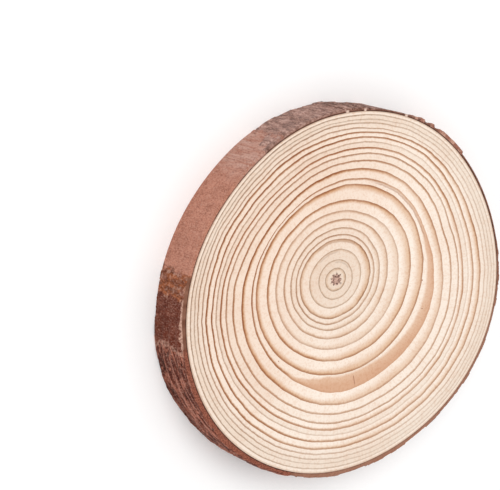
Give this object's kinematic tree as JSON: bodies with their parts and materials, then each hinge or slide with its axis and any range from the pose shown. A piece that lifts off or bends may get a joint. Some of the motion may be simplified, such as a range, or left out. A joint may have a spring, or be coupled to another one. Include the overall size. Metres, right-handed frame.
{
  "type": "wood slice",
  "caption": "Round pine slice sawn across the trunk, with its growth rings on the face and a thin ring of bark round the edge.",
  "frame": {"origin": "middle of the slice's box on the flat sawn underside that it lies on", "axes": "+Z along the trunk, up through the face; seen from above, +X is to the picture's right and +Y is up in it"},
  "size_m": [0.1378, 0.1348, 0.018],
  "materials": {
    "pine": "sanded and bare, pale cream with tan growth rings",
    "bark": "dry and flaky, red-brown to grey-brown"
  },
  "bodies": {
    "root": {"wood": "pine", "bark": "bark"}
  },
  "joints": []
}
